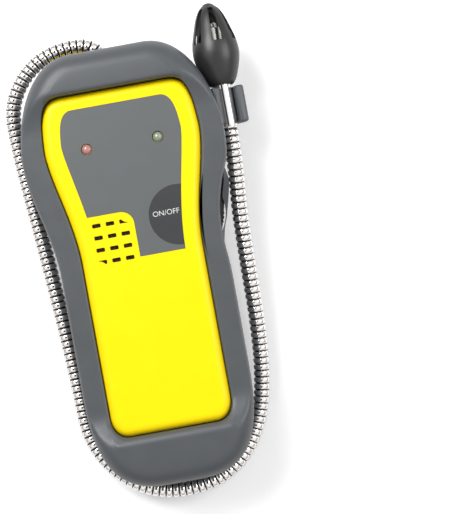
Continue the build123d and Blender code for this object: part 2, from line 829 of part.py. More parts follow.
with BuildPart() as thumbwheel:
    with BuildSketch(Plane.XY.offset(wheel_base)):
        Circle(wheel_radius)
        with PolarLocations(wheel_radius, wheel_notches):
            Rectangle(0.9, 0.9, rotation=45, mode=Mode.SUBTRACT)
        Circle(shaft_radius, mode=Mode.SUBTRACT)
    extrude(amount=wheel_thickness)
    with BuildSketch(Plane.XY.offset(wheel_top)):
        Circle(wheel_radius - 3)
        Circle(shaft_radius + 2.5, mode=Mode.SUBTRACT)
    extrude(amount=-1.6, mode=Mode.SUBTRACT)

wheel_part = thumbwheel.part.moved(Location((wheel_x, wheel_y, 0)))
wheel_part.label = "thumbwheel"
export_step(wheel_part, "parts/thumbwheel.step")

# Tube fitting: a bush with a hexagon head and a nose, blind bore for the tube, hole for its
# lead. A nut holds it from inside
with BuildPart() as tube_fitting:
    with BuildSketch(Plane.XZ.offset(-(housing_top - nut_length - shell_wall - 2))):
        with Locations((0, fitting_height)):
            Circle(fitting_radius)
    extrude(amount=-(nut_length + shell_wall + 2))
    with BuildSketch(Plane.XZ.offset(-housing_top)):
        with Locations((0, fitting_height)):
            RegularPolygon(hex_across / 2, 6, major_radius=False)
    extrude(amount=-hex_head_length)
    with BuildSketch(Plane.XZ.offset(-(housing_top + hex_head_length))):
        with Locations((0, fitting_height)):
            Circle(fitting_radius)
    extrude(amount=-fitting_nose, taper=8)
    with BuildSketch(Plane.XZ.offset(-tube_start_y)):
        with Locations((0, fitting_height)):
            Circle(tube_radius + thread_gap)
    extrude(amount=-(hex_head_length + fitting_nose + 5), mode=Mode.SUBTRACT)
    with BuildSketch(Plane.XZ.offset(-tube_start_y)):
        with Locations((0, fitting_height)):
            Circle(1.5)
    extrude(amount=nut_length + shell_wall + 5, mode=Mode.SUBTRACT)

tube_fitting.part.label = "tube_fitting"
export_step(tube_fitting.part, "parts/tube_fitting.step")

with BuildPart() as tube_nut:
    with BuildSketch(Plane.XZ.offset(-(housing_top - shell_wall))):
        with Locations((0, fitting_height)):
            RegularPolygon(hex_across / 2, 6, major_radius=False)
            Circle(fitting_radius + thread_gap, mode=Mode.SUBTRACT)
    extrude(amount=nut_length)

tube_nut.part.label = "tube_nut"
export_step(tube_nut.part, "parts/tube_nut.step")

# Gooseneck in three runs: fixed, bending, and carried by the bend up to the ferrule
for run_name, corners, radii in (
    ("gooseneck", fixed_run, fixed_radii),
    ("gooseneck_bend", bending_run, None),
    ("gooseneck_end", carried_run, carried_radii),
):
    with BuildPart() as tube:
        with BuildLine() as route:
            if radii:
                FilletPolyline(*corners, radius=radii)
            else:
                Line(*corners)
        with BuildSketch(Plane(origin=route.wire() @ 0, z_dir=route.wire() % 0)):
            Circle(tube_radius)
        sweep(path=route.wire())
    tube.part.label = run_name
    export_step(tube.part, f"parts/{run_name}.step")

# Ferrule: smooth sleeve with a collar under the tip and a spigot that the cup sits on
with BuildPart() as ferrule:
    with BuildSketch(tip_plane):
        Circle(ferrule_radius)
    extrude(amount=ferrule_length)
    with BuildSketch(tip_plane):
        Circle(ferrule_radius - 1)
    extrude(amount=-spigot_length)
    chamfer(ferrule.edges().group_by(Axis.Y)[0], 0.3)

ferrule.part.label = "ferrule"
export_step(ferrule.part, "parts/ferrule.step")

# Sensor tip, lower half: an egg-shaped cup, turned, with a step for the sensor's socket
with BuildPart() as probe_cup:
    with BuildSketch(Plane.YZ):
        with BuildLine():
            Line((0, 0), (0, tip_foot_radius))
            Spline(
                (0, tip_foot_radius),
                (tip_seam * 0.4, tip_radius - 2.0),
                (tip_seam, tip_radius),
                tangents=((1, 1.1), (1, 0)),
            )
            Line((tip_seam, tip_radius), (tip_seam, tip_radius - guard_wall))
            Polyline(
                (tip_seam, tip_radius - guard_wall),
                (socket_foot, socket_radius + 0.1),
                (socket_foot, socket_radius - 1.2),
                (spigot_length, tip_foot_radius - 1),
                (spigot_length, 0),
            )
            Line((spigot_length, 0), (0, 0))
        make_face()
    revolve(axis=Axis.Y)
    with BuildSketch(Plane.XZ.offset(1)):
        Circle(ferrule_radius - 1 + thread_gap)
    extrude(amount=-spigot_length - 2, mode=Mode.SUBTRACT)

cup_part = probe_cup.part.moved(Location((probe_x, probe_seat_y, probe_height)))
cup_part.label = "probe_cup"
export_step(cup_part, "parts/probe_cup.step")

# Sensor tip, upper half: a pointed guard with a blunt nose, hollow, with long slots
with BuildPart() as sensor_guard:
    with BuildSketch(Plane.YZ):
        with BuildLine():
            Spline(
                (tip_seam, tip_radius),
                (tip_seam + 0.5 * guard_length, 0.78 * tip_radius),
                (tip_seam + 0.77 * guard_length, 0.57 * tip_radius),
                (tip_length - 2.2, nose_radius),
                tangents=((1, 0), (1, -1)),
            )
            Polyline(
                (tip_length - 2.2, nose_radius),
                (tip_length - 0.5, nose_radius - 1.8),
                (tip_length, nose_radius - 3),
                (tip_length, 0),
                (tip_length - 3.8, 0),
            )
            Spline(
                (tip_length - 3.8, 0),
                (tip_seam + 0.7 * guard_length, 0.62 * tip_radius - guard_wall),
                (tip_seam + 0.45 * guard_length, 0.81 * tip_radius - guard_wall),
                (tip_seam, tip_radius - guard_wall),
                tangents=((0, 1), (-1, 0)),
            )
            Line((tip_seam, tip_radius - guard_wall), (tip_seam, tip_radius))
        make_face()
    revolve(axis=Axis.Y)
    for turn in range(guard_slots):
        # The side that lies towards the table has no slot
        if turn == guard_slots // 2:
            continue
        with BuildSketch(Plane.XY.rotated((0, 360 / guard_slots * turn + guard_turn, 0))):
            with BuildLine():
                Polyline(
                    (-guard_slot_width / 2, slot_foot),
                    (guard_slot_width / 2, slot_foot),
                    (slot_head_width / 2, slot_head),
                    (-slot_head_width / 2, slot_head),
                    close=True,
                )
            make_face()
        extrude(amount=tip_radius + 1, mode=Mode.SUBTRACT)

guard_part = sensor_guard.part.moved(Location((probe_x, probe_seat_y, probe_height)))
guard_part.label = "sensor_guard"
export_step(guard_part, "parts/sensor_guard.step")

# Gas sensor: a metal can with a stepped cap, in a socket that seats in the cup
with BuildPart() as sensor_can:
    with BuildSketch(Plane.XZ.offset(-socket_top)):
        Circle(can_radius)
    extrude(amount=-can_length)
    chamfer(sensor_can.edges().group_by(Axis.Y)[-1], 0.5)
    with BuildSketch(Plane.XZ.offset(-socket_top - can_length)):
        Circle(can_radius / 2)
    extrude(amount=-2.2)
    chamfer(sensor_can.edges().group_by(Axis.Y)[-1], 0.5)

can_part = sensor_can.part.moved(Location((probe_x, probe_seat_y, probe_height)))
can_part.label = "sensor_can"
export_step(can_part, "parts/sensor_can.step")

with BuildPart() as sensor_socket:
    with BuildSketch(Plane.XZ.offset(-socket_foot)):
        Circle(socket_radius)
    extrude(amount=-(socket_top - socket_foot))

socket_part = sensor_socket.part.moved(Location((probe_x, probe_seat_y, probe_height)))
socket_part.label = "sensor_socket"
export_step(socket_part, "parts/sensor_socket.step")
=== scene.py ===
import math

import bmesh
import bpy
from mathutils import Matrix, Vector


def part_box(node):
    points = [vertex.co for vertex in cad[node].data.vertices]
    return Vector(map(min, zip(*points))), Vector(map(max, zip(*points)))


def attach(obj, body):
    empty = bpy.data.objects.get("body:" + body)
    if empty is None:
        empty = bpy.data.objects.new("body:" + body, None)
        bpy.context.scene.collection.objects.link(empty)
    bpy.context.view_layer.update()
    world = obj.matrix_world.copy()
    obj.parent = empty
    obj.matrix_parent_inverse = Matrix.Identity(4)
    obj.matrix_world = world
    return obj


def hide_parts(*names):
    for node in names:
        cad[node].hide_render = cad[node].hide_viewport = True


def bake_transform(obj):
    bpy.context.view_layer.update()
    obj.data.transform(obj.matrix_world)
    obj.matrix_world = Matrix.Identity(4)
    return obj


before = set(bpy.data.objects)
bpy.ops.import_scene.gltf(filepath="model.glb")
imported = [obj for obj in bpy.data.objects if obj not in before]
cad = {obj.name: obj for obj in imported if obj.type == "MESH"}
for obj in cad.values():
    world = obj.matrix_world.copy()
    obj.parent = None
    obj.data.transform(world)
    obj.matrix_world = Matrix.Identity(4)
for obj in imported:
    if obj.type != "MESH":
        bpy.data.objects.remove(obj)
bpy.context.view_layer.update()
mm = 0.001

# Camera: stands 0.75 m straight above the instrument, turned so that the instrument leans to the
# left in the picture as it does in the photograph
view = bpy.data.cameras.new("view")
view.lens = 109.1
view.clip_start = 0.05
camera = bpy.data.objects.new("camera", view)
camera.location = (0.0410, -0.0038, 0.750)
camera.rotation_euler = (0, 0, math.radians(-10.3))
bpy.context.scene.collection.objects.link(camera)
bpy.context.scene.camera = camera

# Floor and light: a plain white table, a soft sky that is darker near the horizon and has one
# small dark patch almost overhead, a wide lamp at the upper left and a weaker one at the right
bpy.context.scene.view_settings.view_transform = "Standard"
sky = bpy.data.worlds.new("sky")
sky.use_nodes = True
sky_nodes = sky.node_tree.nodes
sky_links = sky.node_tree.links
direction = sky_nodes.new("ShaderNodeTexCoord")
height_of = sky_nodes.new("ShaderNodeSeparateXYZ")
sky_ramp = sky_nodes.new("ShaderNodeValToRGB")
sky_links.new(direction.outputs["Generated"], height_of.inputs["Vector"])
sky_links.new(height_of.outputs["Z"], sky_ramp.inputs["Fac"])
sky_ramp.color_ramp.elements[0].color = (0.45, 0.45, 0.45, 1)
for stop, grey in ((0.30, 0.50), (0.60, 0.95)):
    mark = sky_ramp.color_ramp.elements.new(stop)
    mark.color = (grey, grey, grey, 1)
nearness = sky_nodes.new("ShaderNodeVectorMath")
nearness.operation = "DOT_PRODUCT"
nearness.inputs[1].default_value = (-0.13, 0.0, 0.99)
patch = sky_nodes.new("ShaderNodeMapRange")
patch.inputs["From Min"].default_value = 0.962
patch.inputs["From Max"].default_value = 0.972
patch.inputs["To Min"].default_value = 1.0
patch.inputs["To Max"].default_value = 0.05
dimmed = sky_nodes.new("ShaderNodeVectorMath")
dimmed.operation = "SCALE"
sky_links.new(direction.outputs["Generated"], nearness.inputs[0])
sky_links.new(nearness.outputs["Value"], patch.inputs["Value"])
sky_links.new(sky_ramp.outputs["Color"], dimmed.inputs["Vector"])
sky_links.new(patch.outputs["Result"], dimmed.inputs["Scale"])
sky_links.new(dimmed.outputs["Vector"], sky_nodes["Background"].inputs["Color"])
mirrored = sky_nodes.new("ShaderNodeLightPath")
room = sky_nodes.new("ShaderNodeMapRange")
room.inputs["To Min"].default_value = 0.56
room.inputs["To Max"].default_value = 1.0
sky_links.new(mirrored.outputs["Is Glossy Ray"], room.inputs["Value"])
sky_links.new(room.outputs["Result"], sky_nodes["Background"].inputs["Strength"])
bpy.context.scene.world = sky

floor_mesh = bpy.data.meshes.new("floor")
floor_mesh.from_pydata([(-3, -3, 0), (3, -3, 0), (3, 3, 0), (-3, 3, 0)], [], [(0, 1, 2, 3)])
floor = bpy.data.objects.new("floor", floor_mesh)
bpy.context.scene.collection.objects.link(floor)
floor_paint = bpy.data.materials.new("floor_paint")
floor_paint.use_nodes = True
floor_nodes = floor_paint.node_tree.nodes
floor_bsdf = floor_nodes["Principled BSDF"]
floor_bsdf.inputs["Base Color"].default_value = (0.93, 0.93, 0.93, 1)
floor_bsdf.inputs["Roughness"].default_value = 0.9
floor_bsdf.inputs["Emission Color"].default_value = (1, 1, 1, 1)
seen = floor_nodes.new("ShaderNodeLightPath")
lift = floor_nodes.new("ShaderNodeMath")
lift.operation = "MULTIPLY"
lift.inputs[1].default_value = 0.24
floor_paint.node_tree.links.new(seen.outputs["Is Camera Ray"], lift.inputs[0])
floor_paint.node_tree.links.new(lift.outputs["Value"], floor_bsdf.inputs["Emission Strength"])
floor_mesh.materials.append(floor_paint)

for lamp_name, place, width, power in (
    ("key_lamp", (-0.44, 0.60, 0.92), 0.55, 12.0),
    ("side_lamp", (0.7, 0.1, 0.6), 0.5, 3.4),
):
    lamp_data = bpy.data.lights.new(lamp_name, "AREA")
    lamp_data.size = width
    lamp_data.energy = power
    lamp = bpy.data.objects.new(lamp_name, lamp_data)
    lamp.location = place
    lamp.rotation_euler = (-Vector(place)).to_track_quat("-Z", "Y").to_euler()
    bpy.context.scene.collection.objects.link(lamp)

# Boot: one thick moulding of dark grey rubber, pulled over the housing. Its surface is built as
# rings that follow its outline: up the sides, over the strips and caps, and into the window
STEPS = (8, 22, 26, 16, 24, 8)


def curve_points(corners, steps):
    """Points along a straight line or a cubic curve, without the last one."""
    points = []
    for i in range(steps):
        t = i / steps
        if len(corners) == 2:
            weights = (1 - t, t)
        else:
            weights = ((1 - t) ** 3, 3 * t * (1 - t) ** 2, 3 * t * t * (1 - t), t**3)
        points.append(sum((Vector(c) * w for c, w in zip(corners, weights)), Vector((0, 0))))
    return points


def waisted_ring(top, foot, head, grip, flats, reaches, lean, hips):
    """A closed outline, wide at the head and narrow at the grip, as points anticlockwise."""
    head_y = 60.0
    runs = [
        [(0, top), (flats[0], top)],
        [(flats[0], top), (reaches[0], top), (head - lean[0], head_y + lean[1]), (head, head_y)],
        [
            (head, head_y),
            (head + 0.8 * lean[0], head_y - 0.8 * lean[1]),
            (grip, hips[0] + 22),
            (grip, hips[0]),
        ],
        [(grip, hips[0]), (grip, hips[1])],
        [
            (grip, hips[1]),
            (grip, hips[1] + 0.69 * (foot - hips[1])),
            (reaches[1], foot),
            (flats[1], foot),
        ],
        [(flats[1], foot), (0, foot)],
    ]
    right = []
    for run, steps in zip(runs, STEPS):
        right += curve_points(run, steps)
    left = [Vector((-p.x, p.y)) for p in right[1:]]
    return right + [Vector((0, foot))] + left[::-1]


def face_ring(distance):
    """The face's outline moved outwards by a distance."""
    return waisted_ring(
        82 + distance,
        -76 - distance,
        35.8 + distance,
        27.9 + distance,
        (24.0, 20.0),
        (33.0 + 0.8 * distance, 24.0 + 0.8 * distance),
        (1.0, 17.0 + 0.8 * distance),
        (4.0, -66.0),
    )


def outward(ring):
    """The direction pointing out of a ring at each of its points, which run clockwise."""
    normals = []
    for i, p in enumerate(ring):
        along = ring[(i + 1) % len(ring)] - ring[i - 1]
        normals.append(Vector((-along.y, along.x)).normalized())
    return normals


def edge_drop(distance, radius):
    """How far a rounded edge lies below its flat top, at a distance inside the outline."""
    if distance >= radius:
        return 0.0
    return radius - math.sqrt(max(radius**2 - (radius - distance) ** 2, 0.0))


def soft_min(a, b, blend):
    """The smaller of two heights, with the crease between them rounded."""
    h = max(blend - abs(a - b), 0.0) / blend
    return min(a, b) - h * h * blend / 4


def boot_height(y, distance):
    """Height of the boot's top: the side strips, the ramps and the two end caps."""
    strip = 40.4 - edge_drop(distance, 5.2) - 1.0 * max(1 - distance / 11.0, 0.0) ** 2
    cap = 46.4 - edge_drop(distance, 9.0) - 1.5 * max(1 - distance / 19.0, 0.0) ** 2
    past_brow = 83.3 - y if y > 0 else y + 78.9
    left = 1 - min(max(past_brow / 15.0, 0.0), 1.0)
    ramp = 40.4 + 6.0 * left**1.7
    return max(strip, soft_min(cap, ramp, 0.5))


def circle_through(a, b, c):
    """Centre and radius of the circle through three points."""
    d = 2 * (a.x * (b.y - c.y) + b.x * (c.y - a.y) + c.x * (a.y - b.y))
    sa, sb, sc = (p.x**2 + p.y**2 for p in (a, b, c))
    x = (sa * (b.y - c.y) + sb * (c.y - a.y) + sc * (a.y - b.y)) / d
    y = (sa * (c.x - b.x) + sb * (a.x - c.x) + sc * (b.x - a.x)) / d
    centre = Vector((x, y))
    return centre, (a - centre).length


def pulled_in(ring, ends):
    """The ring with its right side pulled in to the arc through three points."""
    centre, radius = circle_through(*[Vector(p) for p in ends])
    shaped = []
    for p in ring:
        q = p.copy()
        if ends[2][1] < p.y < ends[0][1] and p.x > 0:
            q.x = min(p.x, centre.x - math.sqrt(radius**2 - (p.y - centre.y) ** 2))
        shaped.append(q)
    for _ in range(3):
        shaped = [
            (shaped[i - 1] + 2 * q + shaped[(i + 1) % len(shaped)]) / 4
            if -12 < q.y < 44 and q.x > 0
            else q
            for i, q in enumerate(shaped)
        ]
    return shaped


def pushed_out(ring, ends):
    """The window's ring with its right side pushed out to the arc through three points."""
    centre, radius = circle_through(*[Vector(p) for p in ends])
    shaped = []
    for p in ring:
        q = p.copy()
        if ends[2][1] < p.y < ends[0][1] and p.x > 0:
            q.x = max(p.x, centre.x - math.sqrt(radius**2 - (p.y - centre.y) ** 2))
        shaped.append(q)
    return shaped


rim = waisted_ring(
    101, -101, 46.7, 38.8, (16.9, 7.8), (32.9, 30.2), (2.7, 24.0), (0.0, -55.0)
)
rim_out = outward(rim)
edge = pulled_in(rim, [(44.1, 38.5), (38.1, 17), (39.2, -7)])
edge_out = outward(edge)
opening = pushed_out(face_ring(0.25), [(32.5, 38), (30.9, 20), (28.3, 0)])

boot_rings = []


def side_ring(ring, normals, inset, height):
    """A level ring at an inset from an outline."""
    boot_rings.append([(*(p - n * inset), height) for p, n in zip(ring, normals)])


draft = math.radians(10)
for fraction in (0.45, 0.8):
    boot_rings.append([(*(p * fraction), 0.0) for p in [q - n * 12.4 for q, n in zip(rim, rim_out)]])
for i in range(8):
    turn = (math.pi / 2 - draft) * i / 7
    side_ring(rim, rim_out, 12.38 - 7.5 * math.sin(turn), 7.5 - 7.5 * math.cos(turn))
scoop = [min(max((p - q).length - 0.6, 0.0) / 1.6, 1.0) for p, q in zip(rim, edge)]
for height, shelf in ((11, 0.0), (15, 0.3), (20, 0.7), (24.6, 1.0)):
    ring = []
    for p, n, share in zip(rim, rim_out, scoop):
        bulge = 1.3 * shelf * share * math.cos(math.pi / 2 * min(abs(p.y - 27) / 17, 1.0))
        q = p - n * ((34.5 - height) * math.tan(draft) * (1 - share * shelf) - bulge)
        ring.append((q.x, q.y, height))
    boot_rings.append(ring)
for gap, depth in ((0.9, 0.0), (0.9, 5.0), (0.0, 5.0)):
    ring = []
    for p, n, share in zip(edge, edge_out, scoop):
        q = p - n * ((34.5 - 25.0) * math.tan(draft) * (1 - share) - gap * share)
        ring.append((q.x, q.y, 25.0 - depth * share))
    boot_rings.append(ring)
for height in (28, 31, 34.0):
    ring = []
    for p, n, share in zip(edge, edge_out, scoop):
        q = p - n * (34.5 - height) * math.tan(draft) * (1 - share)
        ring.append((q.x, q.y, height))
    boot_rings.append(ring)
for i in range(1, 13):
    turn = math.pi / 2 * (i - 1) / 11
    inset = 9.0 * (1 - math.cos(turn))
    level = []
    for p, n in zip(edge, edge_out):
        q = p - n * inset
        level.append((q.x, q.y, boot_height(q.y, inset)))
    boot_rings.append(level)
shoulder_ring = [p - n * 9.0 for p, n in zip(edge, edge_out)]
opening_out = outward(opening)
lip_ring = [p + n * 1.0 for p, n in zip(opening, opening_out)]
for i in range(1, 11):
    level = []
    for p, q in zip(shoulder_ring, lip_ring):
        r = p.lerp(q, i / 10)
        level.append((r.x, r.y, boot_height(r.y, 9.0 + (r - p).length)))
    boot_rings.append(level)
for i in range(1, 5):
    turn = math.pi / 2 * i / 4
    level = []
    for p, n in zip(opening, opening_out):
        q = p + n * (1.0 - math.sin(turn))
        level.append((q.x, q.y, boot_height(q.y, 19.0) - 1.0 + math.cos(turn)))
    boot_rings.append(level)
boot_rings.append([(p.x, p.y, 34.25) for p in opening])
pocket = face_ring(3.25)
boot_rings.append([(p.x, p.y, 34.25) for p in pocket])
boot_rings.append([(p.x, p.y, 7.6) for p in pocket])
pocket_out = outward(pocket)
boot_rings.append([(*(p - n * 1.2), 4.6) for p, n in zip(pocket, pocket_out)])
boot_rings.append([(*(p - n * 4.2), 3.4) for p, n in zip(pocket, pocket_out)])

boot_mesh = bmesh.new()
verts = [[boot_mesh.verts.new(Vector(c) * mm) for c in ring] for ring in boot_rings]
count = len(rim)
for low, high in zip(verts, verts[1:]):
    for i in range(count):
        j = (i + 1) % count
        boot_mesh.faces.new((low[i], high[i], high[j], low[j]))
boot_mesh.faces.new(verts[0])
boot_mesh.faces.new(verts[-1][::-1])
bmesh.ops.remove_doubles(boot_mesh, verts=boot_mesh.verts, dist=0.02 * mm)
bmesh.ops.recalc_face_normals(boot_mesh, faces=boot_mesh.faces)
for face in boot_mesh.faces:
    face.smooth = True
boot_data = bpy.data.meshes.new("boot_rubber")
boot_mesh.to_mesh(boot_data)
boot_mesh.free()
boot = bpy.data.objects.new("boot_rubber", boot_data)
bpy.context.scene.collection.objects.link(boot)


def prism(outline, low, high, across, along, up):
    """A solid of an outline, from a low to a high place along the up direction."""
    solid = bmesh.new()
    ends = []
    for reach in (low, high):
        ends.append([solid.verts.new((across * u + along * v + up * reach) * mm) for u, v in outline])
    for i in range(len(outline)):
        j = (i + 1) % len(outline)
        solid.faces.new((ends[0][i], ends[0][j], ends[1][j], ends[1][i]))
    solid.faces.new(ends[0][::-1])
    solid.faces.new(ends[1])
    bmesh.ops.recalc_face_normals(solid, faces=solid.faces)
    return solid


def cut(piece, solid):
    """The piece's mesh with a solid taken away from it."""
    tool_mesh = bpy.data.meshes.new("tool")
    solid.to_mesh(tool_mesh)
    solid.free()
    tool = bpy.data.objects.new("tool", tool_mesh)
    bpy.context.scene.collection.objects.link(tool)
    trim = piece.modifiers.new("trim", "BOOLEAN")
    trim.operation = "DIFFERENCE"
    trim.object = tool
    trim.solver = "MANIFOLD"
    bpy.context.view_layer.update()
    done = bpy.data.meshes.new_from_object(piece.evaluated_get(bpy.context.evaluated_depsgraph_get()))
    piece.modifiers.remove(trim)
    piece.data = done
    bpy.data.objects.remove(tool)


def arc(centre, radius, start, end, steps):
    """Points on an arc, its angles in degrees."""
    turns = [math.radians(start + (end - start) * i / steps) for i in range(steps + 1)]
    return [(centre[0] + radius * math.cos(t), centre[1] + radius * math.sin(t)) for t in turns]


right, away, up = Vector((1, 0, 0)), Vector((0, 1, 0)), Vector((0, 0, 1))
wheel_slot = arc((20.3, 20.5), 20.6, 0, 360, 96)[:-1]
cut(boot, prism(wheel_slot, 18.4, 25.1, right, away, up))
notch = [(-26, -8), (10, -8)] + arc((5, 20.5), 5, 0, 90, 6) + arc((-21, 20.5), 5, 90, 180, 6)
cut(boot, prism(notch, 84.0, 104.0, right, up, away))
boot.data.set_sharp_from_angle(angle=math.radians(40))


def finish(name, colour, roughness, metal=0.0, grain=900.0, mottle=0.06, bump=0.06, coat=0.0):
    """A material with a fine grain and a cloudy change of tone and gloss, on object places."""
    paint = bpy.data.materials.new(name)
    paint.use_nodes = True
    nodes = paint.node_tree.nodes
    links = paint.node_tree.links
    shader = nodes["Principled BSDF"]
    shader.inputs["Metallic"].default_value = metal
    shader.inputs["Coat Weight"].default_value = coat
    shader.inputs["Coat Roughness"].default_value = 0.12
    place = nodes.new("ShaderNodeTexCoord")
    cloud = nodes.new("ShaderNodeTexNoise")
    cloud.name = "cloud"
    cloud.inputs["Scale"].default_value = grain / 12
    cloud.inputs["Detail"].default_value = 5.0
    speck = nodes.new("ShaderNodeTexNoise")
    speck.inputs["Scale"].default_value = grain
    speck.inputs["Detail"].default_value = 2.0
    tone = nodes.new("ShaderNodeMix")
    tone.name = "tone"
    tone.data_type = "RGBA"
    tone.inputs["A"].default_value = (*[c * (1 - mottle) for c in colour], 1)
    tone.inputs["B"].default_value = (*[min(c * (1 + mottle), 1.0) for c in colour], 1)
    gloss = nodes.new("ShaderNodeMapRange")
    gloss.inputs["To Min"].default_value = max(roughness * 0.85, 0.02)
    gloss.inputs["To Max"].default_value = min(roughness * 1.15, 1.0)
    relief = nodes.new("ShaderNodeBump")
    relief.name = "relief"
    relief.inputs["Strength"].default_value = bump
    relief.inputs["Distance"].default_value = 0.0003
    for source, sink in (
        (place.outputs["Object"], cloud.inputs["Vector"]),
        (place.outputs["Object"], speck.inputs["Vector"]),
        (cloud.outputs["Fac"], tone.inputs["Factor"]),
        (cloud.outputs["Fac"], gloss.inputs["Value"]),
        (speck.outputs["Fac"], relief.inputs["Height"]),
        (tone.outputs["Result"], shader.inputs["Base Color"]),
        (gloss.outputs["Result"], shader.inputs["Roughness"]),
        (relief.outputs["Normal"], shader.inputs["Normal"]),
    ):
        links.new(source, sink)
    return paint


rubber = finish("boot_rubber", (0.070, 0.076, 0.083), 0.42, grain=1400.0, mottle=0.08, bump=0.08)
boot.data.materials.clear()
boot.data.materials.append(rubber)
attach(boot, "housing")
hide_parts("boot")

# Clip: a thick loop of the boot's own rubber beside its right shoulder. It leans outwards and is
# open at its upper right, so the ferrule can be pressed in and lifted out
clip_seat = Vector((49.5, 74.4, 26.0))
clip_lean = math.radians(25)
clip_across = Vector((math.cos(clip_lean), 0, -math.sin(clip_lean)))
clip_up = Vector((math.sin(clip_lean), 0, math.cos(clip_lean)))
clip_outline = (
    [(4.4, 6.2)]
    + arc((0, 0), 4.4, 0, -180, 20)
    + [(-4.4, 6.2)]
    + arc((0, 0), 9.6, 139.8, 400.2, 44)
)
clip_solid = prism(clip_outline, 0, 17.0, clip_across, clip_up, -away)
edges = [e for e in clip_solid.edges if e.calc_face_angle(0) > math.radians(35)]
bmesh.ops.bevel(
    clip_solid, geom=edges, offset=0.9 * mm, segments=4, profile=0.5, affect="EDGES", clamp_overlap=True
)
bmesh.ops.translate(clip_solid, verts=clip_solid.verts, vec=clip_seat * mm)
sides = clip_solid.verts[:] + clip_solid.edges[:] + clip_solid.faces[:]
cut_off = bmesh.ops.bisect_plane(
    clip_solid, geom=sides, plane_co=(0.0402, 0, 0), plane_no=(1, 0, 0), clear_inner=True
)
bmesh.ops.holes_fill(
    clip_solid, edges=[e for e in cut_off["geom_cut"] if isinstance(e, bmesh.types.BMEdge)]
)
for face in clip_solid.faces:
    face.smooth = True
clip_data = bpy.data.meshes.new("boot_clip")
clip_solid.to_mesh(clip_data)
clip_solid.free()
clip_data.set_sharp_from_angle(angle=math.radians(50))
clip = bpy.data.objects.new("boot_clip", clip_data)
bpy.context.scene.collection.objects.link(clip)
clip_data.materials.append(rubber)
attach(clip, "housing")
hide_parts("boot")

# Gooseneck: a spring tube of wound chrome strip, so it shows as close ribs with narrow grooves.
# One smooth line runs from the fitting round the boot to the ferrule and is cut into the run
# fixed to the housing, the stretch that bends, and the run that lifts with the probe
tube_route = [
    (0, 82.8, 15.5),
    (0, 107.0, 15.5),
    (-31.5, 107.2, 15.4),
    (-50.7, 87.5, 15.0),
    (-50.3, 60.0, 14.2),
    (-46.4, 12.0, 12.8),
    (-42.6, -46.0, 11.4),
    (-42.1, -83.3, 10.6),
    (-17.6, -107.7, 10.4),
    (17.0, -107.7, 10.4),
    (38.4, -86.3, 10.8),
    (46.3, -52.0, 11.5),
    (46.8, 12.0, 19.3),
    (48.9, 35.0, 23.0),
    (49.5, 48.0, 26.0),
    (49.5, 56.2, 26.0),
]
bend_start = Vector((46.41, -37.92, 13.22))
bend_end = Vector((46.73, 3.04, 18.21))
rib_pitch = 3.1
rib_steps = 10
rib_sides = 28
crest = 3.9
groove = 3.3
line_data = bpy.data.curves.new("tube_line", "CURVE")
line_data.dimensions = "3D"
line_data.resolution_u = 40
spline = line_data.splines.new("NURBS")
spline.points.add(len(tube_route) - 1)
for point, corner in zip(spline.points, tube_route):
    point.co = (*corner, 1)
spline.order_u = 3
spline.use_endpoint_u = True
line = bpy.data.objects.new("tube_line", line_data)
line_points = [v.co.copy() for v in bpy.data.meshes.new_from_object(line).vertices]
bpy.data.objects.remove(line)


def even_places(points, step):
    """Places at even steps along a line of points."""
    places = [points[0]]
    needed = step
    for a, b in zip(points, points[1:]):
        length = (b - a).length
        walked = needed
        while walked <= length:
            places.append(a.lerp(b, walked / length))
            walked += step
        needed = walked - length
    return places


def rib_radius(i):
    """Radius of the ribbed tube at a step: a flat crest with rounded shoulders, then a groove."""
    share = (i % rib_steps) / rib_steps
    if share < 0.2:
        return groove
    return crest - 0.3 * abs((share - 0.55) / 0.35) ** 6


def tube_piece(name, places, start, count, normals):
    """A closed ribbed tube through some of the places."""
    mesh = bmesh.new()
    rings = []
    for i in range(start, start + count):
        ahead = (places[min(i + 1, len(places) - 1)] - places[max(i - 1, 0)]).normalized()
        side = ahead.cross(normals[i]).normalized()
        radius = rib_radius(i)
        rings.append([])
        for k in range(rib_sides):
            turn = 2 * math.pi * k / rib_sides
            way = normals[i] * math.cos(turn) + side * math.sin(turn)
            rings[-1].append(mesh.verts.new((places[i] + way * radius) * mm))
    for i, (low, high) in enumerate(zip(rings, rings[1:])):
        narrow = rib_radius(start + i) == groove
        for k in range(rib_sides):
            j = (k + 1) % rib_sides
            face = mesh.faces.new((low[k], low[j], high[j], high[k]))
            face.smooth = True
            # groove faces take the second material, the painted groove shade
            face.material_index = 1 if narrow else 0
    mesh.faces.new(rings[0][::-1])
    mesh.faces.new(rings[-1])
    bmesh.ops.recalc_face_normals(mesh, faces=mesh.faces)
    data = bpy.data.meshes.new(name)
    mesh.to_mesh(data)
    mesh.free()
    data.set_sharp_from_angle(angle=math.radians(35))
    piece = bpy.data.objects.new(name, data)
    bpy.context.scene.collection.objects.link(piece)
    return piece


tube_places = even_places(line_points, rib_pitch / rib_steps)
tube_normals = [up]
for a, b in zip(tube_places, tube_places[1:]):
    ahead = (b - a).normalized()
    tube_normals.append((tube_normals[-1] - ahead * tube_normals[-1].dot(ahead)).normalized())
first_bend = min(range(len(tube_places)), key=lambda i: (tube_places[i] - bend_start).length)
last_bend = min(range(len(tube_places)), key=lambda i: (tube_places[i] - bend_end).length)
chrome = finish("tube_chrome", (0.90, 0.87, 0.85), 0.08, metal=1.0, mottle=0.05, bump=0.02)
# The groove faces get a near-black chrome: painted shade for the shade deep in each narrow groove
groove_painted_shade = finish("tube_groove_painted_shade", (0.035, 0.03, 0.028), 0.35, metal=1.0, mottle=0.2, bump=0.02)
fixed_tube = tube_piece("gooseneck_fixed", tube_places, 0, first_bend + 1, tube_normals)
bend_tube = tube_piece(
    "gooseneck_bending", tube_places, first_bend, last_bend - first_bend + 1, tube_normals
)
end_tube = tube_piece(
    "gooseneck_carried", tube_places, last_bend, len(tube_places) - last_bend, tube_normals
)
